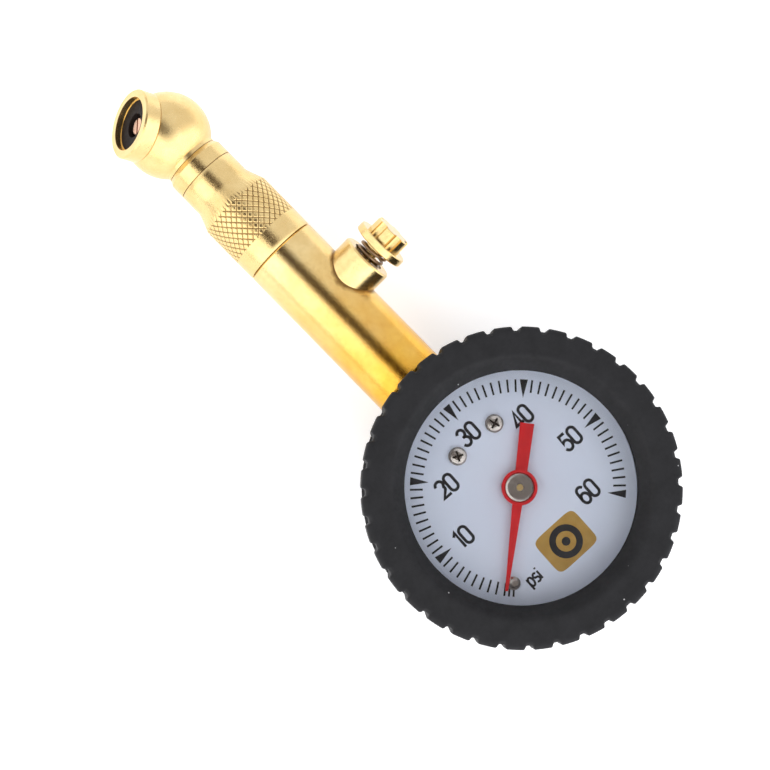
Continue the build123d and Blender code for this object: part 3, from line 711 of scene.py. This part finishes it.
print("a rounded right angle has", len(rounded([(0, 0), (1, 0), (1, 1)], 1, 0.3)), "points")

# %% [markdown]
# ## The lathe
#
# A lathe surface is a function of two numbers: how far along the outline, and how far round. The
# radius may change with both, which is how the tread gets in. An alternative is to model one lug
# and repeat it in a circle, which leaves seams to merge; the formula has none.


# %% Lathe
def lathe_grid(name, radius, height, angle):
    """A surface round the dial axis: x = radius cos(angle), y = radius sin(angle), z = height.

    Rows follow the outline and columns the angle. The first and the last row are closed by a
    fan of triangles to a point on the axis.
    """
    rows, columns = radius.shape
    x = radius * np.cos(angle)
    y = radius * np.sin(angle)
    body = np.stack([x, y, height], axis=-1).reshape(-1, 3)
    poles = [(0.0, 0.0, height[0, 0]), (0.0, 0.0, height[-1, 0])]
    points = np.concatenate([body, poles])
    quads = closed_grid_faces(rows, columns).tolist()
    ring = np.arange(columns)
    beside = (ring + 1) % columns
    start = np.full(columns, rows * columns)
    fans = np.stack([beside, ring, start], axis=-1).tolist()
    end = (rows - 1) * columns
    fans += np.stack([end + ring, end + beside, start + 1], axis=-1).tolist()
    return mesh_from_arrays(name, points, quads + fans)


print("the lathe turns an outline round the dial axis")

# %% [markdown]
# ## The tread
#
# The boot looks like a car tire: blocks of tread round its rim in two staggered rows with a
# groove between. The depth of the cut is a formula of height and angle: across each row it
# depends on the distance to the nearest gap, and between the rows on the height alone. The cut
# fades out over the shoulder. Cutting the gaps with booleans would leave hard edges.

# %% Tread formula
LUGS = 36
GAP_DEPTH = 0.72
GAP_WIDTH = 1.5
GAP_TURN = 7.5
ROW_SPLIT = 12.0
BACK_R = 25.7
TAPER_TOP = 21.0


def tread_radius(height):
    """The tread tapers evenly from TAPER_TOP down to BACK_R at the floor."""
    return BACK_R + (boot_r - BACK_R) * np.minimum(height / TAPER_TOP, 1.0)


def tread_gap(radius, height, angle):
    """How deep the tread is cut at a point: gaps across each row, the back row half a pitch on."""
    pitch = 2 * np.pi / LUGS
    front = height > ROW_SPLIT
    shift = np.radians(GAP_TURN) + np.where(front, 0.0, pitch / 2)
    from_gap = np.abs((angle - shift + pitch / 2) % pitch - pitch / 2) * boot_r
    across = 1 - smooth_step(from_gap, GAP_WIDTH * 0.30, GAP_WIDTH * 0.62)
    along = 1 - smooth_step(np.abs(height - ROW_SPLIT), 0.35, 0.95)
    surface = tread_radius(height)
    shoulder = smooth_step(radius, surface - 1.5, surface - 0.35)
    return GAP_DEPTH * np.maximum(across, along) * shoulder


print("tread pitch in mm:", round(2 * math.pi * boot_r / LUGS, 2))

# %% [markdown]
# ## The boot
#
# The boot is a thick rubber cup with a flat back, a rim that tapers a little towards it, and a
# sloping lip that holds the gauge in. It is one closed surface, turned from an outline that runs
# along the outside and back along the inside.

# %% Boot
LIP_TOP_R = 21.9
LIP_R = 19.7
LIP_Z = 23.2
BEZEL_R = 22.4
BEZEL_Z = 19.75
CUP_R = 21.5
FLOOR_Z = 1.8


def make_boot():
    """Outline of (radius, height) turned through 360 degrees, its rim lowered by tread_gap."""
    outline = [
        (0.5, 0.0), (BACK_R, 0.0), (boot_r, TAPER_TOP), (boot_r, boot_depth), (LIP_TOP_R, boot_depth),
        (LIP_R, LIP_Z + 0.6), (LIP_R, LIP_Z), (BEZEL_R, LIP_Z), (BEZEL_R, BEZEL_Z), (CUP_R, BEZEL_Z),
        (CUP_R, FLOOR_Z), (0.5, FLOOR_Z),
    ]
    for corner, size in ((1, 1.5), (8, 1.1), (14, 0.6)):
        outline = rounded(outline, corner, size)
    outline = resample(outline, 0.4)
    turns = np.linspace(0, 2 * np.pi, LUGS * 24, endpoint=False)
    radius, angle = np.meshgrid(outline[:, 0], turns, indexing="ij")
    height = outline[:, 1][:, None] + 0 * angle
    radius = radius - tread_gap(radius, height, angle)
    return lathe_grid("tread_boot", radius, height, angle)


boot = make_boot()
boot.data.materials.append(boot_rubber)
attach(boot, "gauge_body")
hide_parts("rubber_boot")
print("boot faces:", len(boot.data.polygons))

# %% [markdown]
# ## The knurl
#
# A diamond knurl is rolled by two sets of slanted ridges that press grooves at plus and minus 45
# degrees. The formula is the same: two families of helical grooves, and at each point the deeper
# of the two. What is left between them are the small flat-topped diamonds.

# %% Knurl formula
KNURL_STARTS = 32
KNURL_DEPTH = 0.15
KNURL_FROM = 61.6
KNURL_TO = 69.05


def knurl_depth(height, angle):
    """0 on the diamonds, 1 in the grooves.

    Two mirrored families of helical V grooves, the deeper one at each point, faded in at both
    ends of the band.
    """
    pitch = 2 * np.pi * tube_r / KNURL_STARTS
    turn = angle * KNURL_STARTS / (2 * np.pi)
    along = height / pitch
    right = np.abs((turn + along) % 1 - 0.5) * 2
    left = np.abs((turn - along) % 1 - 0.5) * 2
    groove = np.maximum(smooth_step(right, 0.68, 0.97), smooth_step(left, 0.68, 0.97))
    band = smooth_step(height, KNURL_FROM - 0.1, KNURL_FROM + 0.15)
    band = band * (1 - smooth_step(height, KNURL_TO - 0.15, KNURL_TO + 0.1))
    return groove * band


print("diamond width in mm:", round(2 * math.pi * tube_r / KNURL_STARTS, 2))

# %% [markdown]
# ## The sleeve's outline
#
# The sleeve screws into the tube, carries the knurl, and narrows to the neck that holds the
# swivel. Small gaps are left where it meets its neighbours, so the joints show as dark lines.
# The outline runs up the outside and back down the bore. Only the knurled band needs points close
# together.

# %% Sleeve outline
NECK_R = 5.64
NECK_END = 76.44
SHOULDER_Y = 57.93
SPIGOT_R = 5.25
THREAD_R = 3.43
AIR_R = 1.56


def sleeve_path():
    """(radius, y) points of the sleeve's outline, close together over the knurled band."""
    low = sleeve_low[1]
    outline = [
        (THREAD_R, low), (5.0, low), (SPIGOT_R, SHOULDER_Y - 5.6), (SPIGOT_R, SHOULDER_Y),
        (tube_r - 0.05, SHOULDER_Y), (tube_r, SHOULDER_Y + 0.05), (tube_r, KNURL_FROM - 0.3),
        (tube_r, KNURL_TO), (NECK_R + 0.12, 72.0), (NECK_R, 72.5), (NECK_R, NECK_END - 0.04),
        (NECK_R - 0.04, NECK_END), (4.68, NECK_END), (4.68, 74.05), (3.72, 74.05), (3.72, 69.68),
        (AIR_R, 69.68), (AIR_R, 67.6), (THREAD_R, 67.6), (THREAD_R, low),
    ]
    coarse = resample(outline, 1.2)
    in_band = (coarse[:, 0] > tube_r - 0.05) & (coarse[:, 1] > KNURL_FROM - 0.4)
    in_band = in_band & (coarse[:, 1] < KNURL_TO + 0.01)
    first = int(np.argmax(in_band))
    last = len(coarse) - 1 - int(np.argmax(in_band[::-1]))
    fine = np.linspace(coarse[first], coarse[last], 84)
    return np.concatenate([coarse[:first], fine, coarse[last + 1:]])


print("sleeve outline has", len(sleeve_path()), "points")

# %% [markdown]
# ## The sleeve
#
# The surface is the outline turned round the stem's axis and pressed by the knurl. How deep the
# groove is at each point is also stored on the mesh, where the brass finish reads it to darken
# the grooves. Modelling the darker tone as a second surface would only flicker.


# %% Sleeve
def make_sleeve():
    """x = r cos(angle), z = r sin(angle) + stem height, where r is the outline less the knurl.

    The outline is a closed loop, so its last row is joined to its first by one more ring of faces.
    """
    path = sleeve_path()
    turns = np.linspace(0, 2 * np.pi, KNURL_STARTS * 18, endpoint=False)
    radius, angle = np.meshgrid(path[:, 0], turns, indexing="ij")
    height = path[:, 1][:, None] + 0 * angle
    groove = knurl_depth(height, angle) * (radius > tube_r - 0.3)
    radius = radius - KNURL_DEPTH * groove
    x = radius * np.cos(-angle)
    z = radius * np.sin(-angle) + stem_z
    points = np.stack([x, height, z], axis=-1)[:-1].reshape(-1, 3)
    rows, columns = radius.shape
    faces = closed_grid_faces(rows - 1, columns)
    ring = np.arange(columns)
    beside = (ring + 1) % columns
    end = (rows - 2) * columns
    seam = np.stack([end + ring, end + beside, beside, ring], axis=-1)
    piece = mesh_from_arrays("knurled_band_sleeve", points, np.concatenate([faces, seam]).tolist())
    mask = piece.data.attributes.new("groove", "FLOAT", "POINT")
    mask.data.foreach_set("value", groove[:-1].ravel())
    return piece


sleeve = make_sleeve()
sleeve.data.materials.append(knurl_brass)
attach(sleeve, "gauge_body")
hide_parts("knurled_sleeve")
print("sleeve faces:", len(sleeve.data.polygons))

# %% [markdown]
# ## Placing print on the dial
#
# The print sits a hair above the plate, and is turned with the screws. Two small helpers place
# flat points there and turn a reading into an angle, so that the rest can think in readings.

# %% Dial helpers
PRINT_Z = dial_top + 0.02
DEGREES_PER_UNIT = 4.5


def flat_faces(count, corners):
    """Face lists for count separate polygons of so many corners each."""
    return np.arange(count * corners).reshape(count, corners).tolist()


def on_dial(x, y, lift=0.0):
    """Places flat (x, y) points on the dial, turned as the print is."""
    turn = math.radians(PRINT_TURN)
    across = x * math.cos(turn) - y * math.sin(turn)
    up = x * math.sin(turn) + y * math.cos(turn)
    return np.stack([across, up, np.full_like(across, PRINT_Z + lift)], axis=-1)


def reading_angle(value):
    """Degrees counter-clockwise from the right for a reading; 30 is straight up."""
    return 90 + (30 - value) * DEGREES_PER_UNIT


print("the scale sweeps", 60 * DEGREES_PER_UNIT, "degrees")

# %% [markdown]
# ## The printed scale
#
# A gauge scale is a row of thin bars, one for each unit, with a filled wedge at every ten. Each
# mark is a few corners placed by its angle, so all of them come from one array. The zero end is
# squeezed by a stop pin, as on many simple gauges, so two bars there stand closer.

# %% Scale bars and wedges
SCALE_R = 18.5
BAR_LENGTH = 2.2
BAR_WIDTH = 0.33
ZERO_MARKS = [0.45, -0.1]


def dial_marks(readings, radii, sides):
    """Polygons standing at each reading: a corner is so far out, and so far to the side."""
    angles = np.radians(reading_angle(readings))[:, None]
    x = np.array([radii]) * np.cos(angles) - np.array([sides]) * np.sin(angles)
    y = np.array([radii]) * np.sin(angles) + np.array([sides]) * np.cos(angles)
    return on_dial(x.ravel(), y.ravel())


def make_bars():
    """Four-cornered bars for the units and three-cornered wedges for the tens."""
    units = np.array([v for v in range(1, 60) if v % 10] + ZERO_MARKS)
    tens = np.arange(10, 61, 10)
    inner = SCALE_R - BAR_LENGTH
    half = BAR_WIDTH / 2
    bars = dial_marks(units, [inner, SCALE_R, SCALE_R, inner], [half, half, -half, -half])
    wedges = dial_marks(tens, [SCALE_R - 3.2, SCALE_R, SCALE_R], [0.0, -0.7, 0.7])
    bar_faces = [face[::-1] for face in flat_faces(len(units), 4)]
    wedge_faces = [[i + len(bars) for i in face] for face in flat_faces(len(tens), 3)]
    points = np.concatenate([bars, wedges])
    return mesh_from_arrays("scale_print", points, bar_faces + wedge_faces, smooth=False)


scale_print = make_bars()
scale_print.data.materials.append(ink_black)
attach(scale_print, "gauge_body")
print("scale marks:", len(scale_print.data.polygons))

# %% [markdown]
# ## Strokes
#
# The numerals are a plain narrow sans with an even stroke. A stroke is easy to describe as a line
# of points, straight or on an arc, which later gets its width. That needs no font file. Each
# glyph is drawn in a box one unit high; W is the radius of its round ends.


# %% Glyph strokes
def arc(cx, cy, rx, ry, start, end, steps=14):
    """Points on an ellipse from one angle to another, in degrees."""
    t = np.radians(np.linspace(start, end, steps))
    return np.stack([cx + rx * np.cos(t), cy + ry * np.sin(t)], axis=-1)


def chain(*runs):
    """Joins runs of points into one stroke."""
    return np.concatenate([np.asarray(run, float) for run in runs])


W = 0.235
GLYPHS = {
    "0": [chain(arc(W, 1 - W, W, W, 0, 180), arc(W, W, W, W, 180, 360), [(2 * W, 1 - W)])],
    "1": [[(0.02, 0.80), (0.2, 0.99), (0.2, 0.0)]],
    "2": [chain(arc(W, 1 - W, W, W, 175, -15), arc(0.02, 0.5, 0.38, 0.22, 20, -30, 5),
                [(0.0, 0.04), (0.5, 0.04)])],
    "3": [chain(arc(0.22, 0.765, 0.215, 0.235, 165, -80), [(0.17, 0.53)]),
          chain([(0.17, 0.53)], arc(0.22, 0.27, 0.24, 0.265, 85, -165))],
    "4": [[(0.36, 0.0), (0.36, 0.98), (0.0, 0.27), (0.52, 0.27)]],
    "5": [chain([(0.46, 0.965), (0.09, 0.965), (0.04, 0.5)], arc(0.22, 0.31, 0.25, 0.3, 130, -160))],
    "6": [chain(arc(0.245, 1 - W, 0.225, W, 25, 180), arc(W, 0.3, W, 0.3, 180, 535, 22))],
    "p": [[(0.03, 0.72), (0.03, -0.24)], arc(0.225, 0.35, 0.195, 0.35, 0, 360, 20)],
    "s": [chain(arc(0.18, 0.53, 0.165, 0.17, 35, 235), arc(0.19, 0.18, 0.175, 0.185, 60, -145))],
    "i": [[(0.03, 0.0), (0.03, 0.70)], [(0.03, 0.88), (0.03, 1.0)]],
}
STEP = 0.61
ADVANCE = {"1": 0.40, "i": 0.18, "s": 0.47, "p": 0.54}
print("glyphs:", " ".join(GLYPHS))

# %% [markdown]
# ## Strokes with width
#
# A stroke gets its width by moving its points half a width to each side. At a bend the sideways
# direction is the mean of both neighbours, and a little longer, so the stroke keeps its width
# round the corner. A row of words is then one mesh of such ribbons.


# %% Ribbons and words
def stroke_band(points, width):
    """Left and right edge of a stroke: each point moved half a width along the mitred normal."""
    points = np.asarray(points, float)
    along = np.diff(points, axis=0)
    along = along / np.linalg.norm(along, axis=1, keepdims=True)
    before = np.concatenate([along[:1], along])
    after = np.concatenate([along, along[-1:]])
    normal = np.stack([-(before + after)[:, 1], (before + after)[:, 0]], axis=-1)
    normal = normal / np.linalg.norm(normal, axis=1, keepdims=True)
    straight = np.stack([-after[:, 1], after[:, 0]], axis=-1)
    stretch = 1 / np.maximum(np.sum(normal * straight, axis=1, keepdims=True), 0.5)
    offset = normal * stretch * width / 2
    return points + offset, points - offset


def write_words(name, words, weight):
    """Ribbons for (text, centre x, centre y, height) entries; weight is stroke width over height."""
    points = []
    faces = []
    for text, cx, cy, height in words:
        total = sum(ADVANCE.get(c, STEP) for c in text) - 0.14
        pen = -total / 2
        for letter in text:
            for stroke in GLYPHS[letter]:
                left, right = stroke_band(stroke, weight)
                first = len(points)
                count = len(left)
                both = np.concatenate([left, right]) + [pen, -0.5]
                points.extend((both * height + [cx, cy]).tolist())
                i = np.arange(count - 1)
                faces += (np.stack([i + 1, i, i + count, i + count + 1], axis=-1) + first).tolist()
            pen += ADVANCE.get(letter, STEP)
    flat = np.array(points)
    return mesh_from_arrays(name, on_dial(flat[:, 0], flat[:, 1]), faces, smooth=False)


print("a straight stroke has", 2 * len(stroke_band([(0, 0), (0, 1)], 0.1)[0]), "edge points")

# %% [markdown]
# ## Numerals
#
# The tens stand inside the scale, each a little off its wedge as on the real dial, and the unit
# stands beside zero. Each entry is a text, its middle, and its height; the whole list is turned
# with the print.

# %% Numerals
NUMERAL_HEIGHT = 3.1
UNIT_HEIGHT = 2.3
STROKE_WEIGHT = 0.165
WORDS = [
    ("10", -12.6, 0.05, NUMERAL_HEIGHT),
    ("20", -8.95, 8.35, NUMERAL_HEIGHT),
    ("30", -0.3, 12.45, NUMERAL_HEIGHT),
    ("40", 8.45, 8.6, NUMERAL_HEIGHT),
    ("50", 12.25, 0.3, NUMERAL_HEIGHT),
    ("60", 8.45, -8.4, NUMERAL_HEIGHT),
    ("psi", -8.3, -13.0, UNIT_HEIGHT),
]
numerals = write_words("numeral_print", WORDS, STROKE_WEIGHT)
numerals.data.materials.append(ink_black)
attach(numerals, "gauge_body")
print("words:", " ".join(word[0] for word in WORDS))

# %% [markdown]
# ## A plain badge
#
# Gauges often carry a coloured badge below the pivot. This one is generic: a gold tablet with
# rounded corners and a plain black ring, which could stand for a tire. The tablet is a
# superellipse, one formula for a soft rectangle, and the ring is the gap between two circles.

# %% Badge
BADGE_DROP = 12.2
BADGE_HALF_WIDTH = 4.5
BADGE_HALF_HEIGHT = 3.6
RING_RADII = (2.9, 1.75, 0.75)


def make_badge():
    """A soft rectangle: |x / half width|^7 + |y / half height|^7 = 1, as one flat face."""
    t = np.linspace(0, 2 * np.pi, 72, endpoint=False)
    power = 2 / 7
    x = BADGE_HALF_WIDTH * np.sign(np.cos(t)) * np.abs(np.cos(t)) ** power
    y = BADGE_HALF_HEIGHT * np.sign(np.sin(t)) * np.abs(np.sin(t)) ** power - BADGE_DROP
    rim = on_dial(x, y)
    return mesh_from_arrays("badge_tablet", rim, [list(range(len(t)))], smooth=False)


def make_badge_ring():
    """A flat ring between two circles, and a filled disc in the middle."""
    t = np.linspace(0, 2 * np.pi, 64, endpoint=False)
    rings = [on_dial(r * np.cos(t), r * np.sin(t) - BADGE_DROP, 0.02) for r in RING_RADII]
    count = len(t)
    i = np.arange(count)
    j = (i + 1) % count
    faces = np.stack([i, j, j + count, i + count], axis=-1).tolist()
    faces.append(list(range(2 * count, 3 * count)))
    return mesh_from_arrays("badge_ring", np.concatenate(rings), faces, smooth=False)


badge = make_badge()
badge.data.materials.append(badge_gold)
badge_ring = make_badge_ring()
badge_ring.data.materials.append(ink_black)
for part in (badge, badge_ring):
    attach(part, "gauge_body")
print("badge corners:", len(badge.data.vertices))

# %% [markdown]
# ## The table
#
# The gauge lies on a plain white table, so wide that its edge is never seen from above. It glows
# a little, which lifts the soft shadow under the stem as a bright room does.

# %% Floor
FLOOR_HALF_SIDE = 4000.0
TABLE_Z = -0.2


def make_floor():
    """A wide pale square under the gauge."""
    side = FLOOR_HALF_SIDE
    corners = [(x * side, y * side, TABLE_Z) for x, y in ((-1, -1), (1, -1), (1, 1), (-1, 1))]
    floor = mesh_from_arrays("studio_floor", corners, [[0, 1, 2, 3]], smooth=False)
    material, _, shader, _ = new_material("studio white", (0.86, 0.86, 0.86), 0.0, 0.9)
    shader.inputs["Emission Color"].default_value = (1, 1, 1, 1)
    shader.inputs["Emission Strength"].default_value = 0.4
    floor.data.materials.append(material)
    return floor


floor = make_floor()
print("floor side in metres:", 2 * FLOOR_HALF_SIDE * MM)

# %% [markdown]
# ## The tent
#
# A metal part is only as good as what it reflects. In a product studio one large soft box hangs
# to the left of the stem, the space overhead stays dark, and pale walls fill the rest: that gives
# brass its long bright band with a brown one beside it. The tent is the world's background, a
# formula of direction: how far it leans from straight up to the side, in degrees, and how far it
# points along the stem. Real walls would do the same but would have to be hidden.

# %% Tent
PANEL_FOOT = -78.0
LEFT_EDGE = -18.0
RIGHT_EDGE = 9.0
WALLS = (1.02, 1.02, 1.06, 1)
PANEL = (1.62, 1.62, 1.64, 1)
REAR_LIGHT = (2.2, 2.22, 2.3, 1)
DARK_GAP = (0.07, 0.045, 0.03, 1)
DARK_HEM = (0.05, 0.04, 0.03, 1)


def mask_between(tree, value, low, high, soft_low, soft_high):
    """1 between low and high, fading to 0 over the soft widths outside."""
    rise = spread(tree, value, low - soft_low, low)
    fall = spread(tree, value, high, high + soft_high, 1.0, 0.0)
    return maths(tree, "MULTIPLY", rise, fall)


def make_tent():
    """A white tent: a bright panel on the left with a dark hem, and a dark gap overhead."""
    world = bpy.data.worlds.new("studio tent")
    bpy.context.scene.world = world
    world.use_nodes = True
    tree = world.node_tree
    axes = node(tree, "ShaderNodeSeparateXYZ")
    tree.links.new(tree.nodes.new("ShaderNodeTexCoord").outputs["Generated"], axes.inputs["Vector"])
    lean = maths(tree, "ARCTAN2", axes.outputs["X"], axes.outputs["Z"])
    lean = maths(tree, "DEGREES", lean)
    panel = mask_between(tree, lean, PANEL_FOOT, LEFT_EDGE, 1.0, 2.0)
    slot = mask_between(tree, lean, LEFT_EDGE + 1.0, RIGHT_EDGE, 2.0, 7.0)
    ahead = mask_between(tree, axes.outputs["Y"], -0.12, 0.5, 0.22, 0.3)
    slot = maths(tree, "MULTIPLY", slot, ahead)
    behind = spread(tree, axes.outputs["Y"], -0.6, -0.35, 1.0, 0.0)
    hem = mask_between(tree, lean, PANEL_FOOT - 4.0, PANEL_FOOT - 1.0, 0.5, 0.5)
    light = mixed(tree, panel, WALLS, PANEL)
    light = mixed(tree, behind, light, REAR_LIGHT)
    light = mixed(tree, slot, light, DARK_GAP)
    light = mixed(tree, hem, light, DARK_HEM)
    tree.links.new(light, tree.nodes["Background"].inputs["Color"])
    tree.nodes["Background"].inputs["Strength"].default_value = 1.0


make_tent()
print("bright panel from", PANEL_FOOT, "to", LEFT_EDGE, "degrees")

# %% [markdown]
# ## A soft box
#
# One weak soft box stands to the left, only to give the table a shadow with a direction. It is an
# area light, because a point light would draw a hard edge.


# %% Soft box
def soft_box(name, place, aim, width, height, watts):
    """A rectangular area light at a place, turned to face a point; both in millimetres."""
    data = bpy.data.lights.new(name, "AREA")
    data.shape = "RECTANGLE"
    data.size = width * MM
    data.size_y = height * MM
    data.energy = watts
    light = bpy.data.objects.new(name, data)
    light.location = Vector(place) * MM
    direction = Vector(aim) - Vector(place)
    light.rotation_mode = "QUATERNION"
    light.rotation_quaternion = direction.to_track_quat("-Z", "Y")
    bpy.context.scene.collection.objects.link(light)
    return light


soft_box("left box", (-430, 40, 300), (0, 40, 10), 480, 700, 0.5)

# %% [markdown]
# ## The camera
#
# The gauge is seen nearly from above, from about arm's length, with the stem running to the upper
# left. The camera is described by where it stands, what it looks at, and which way is up: three
# things that can be read, while a turn in three angles can't. The colours are shown without a
# film curve, as in a plain product shot.


# %% Camera
def make_camera(foot, height, aim, up, lens):
    """Looks from a point above the gauge to an aim point, with a chosen up direction."""
    data = bpy.data.cameras.new("camera")
    data.lens = lens
    data.sensor_width = 36
    data.clip_start = 0.01
    data.clip_end = 20
    camera = bpy.data.objects.new("camera", data)
    place = Vector((foot[0], foot[1], height)) * MM
    back = (place - Vector(aim) * MM).normalized()
    side = Vector(up).cross(back).normalized()
    turn = Matrix((side, back.cross(side), back)).transposed()
    camera.matrix_world = Matrix.Translation(place) @ turn.to_4x4()
    bpy.context.scene.collection.objects.link(camera)
    bpy.context.scene.camera = camera
    return camera


camera = make_camera((-29.2, 24.3), 307.7, (-4.57, 28.26, 26.0), (0.701, 0.713, 0), 79.5)
bpy.context.scene.view_settings.view_transform = "Standard"
print("camera at", [round(v / MM) for v in camera.matrix_world.translation])
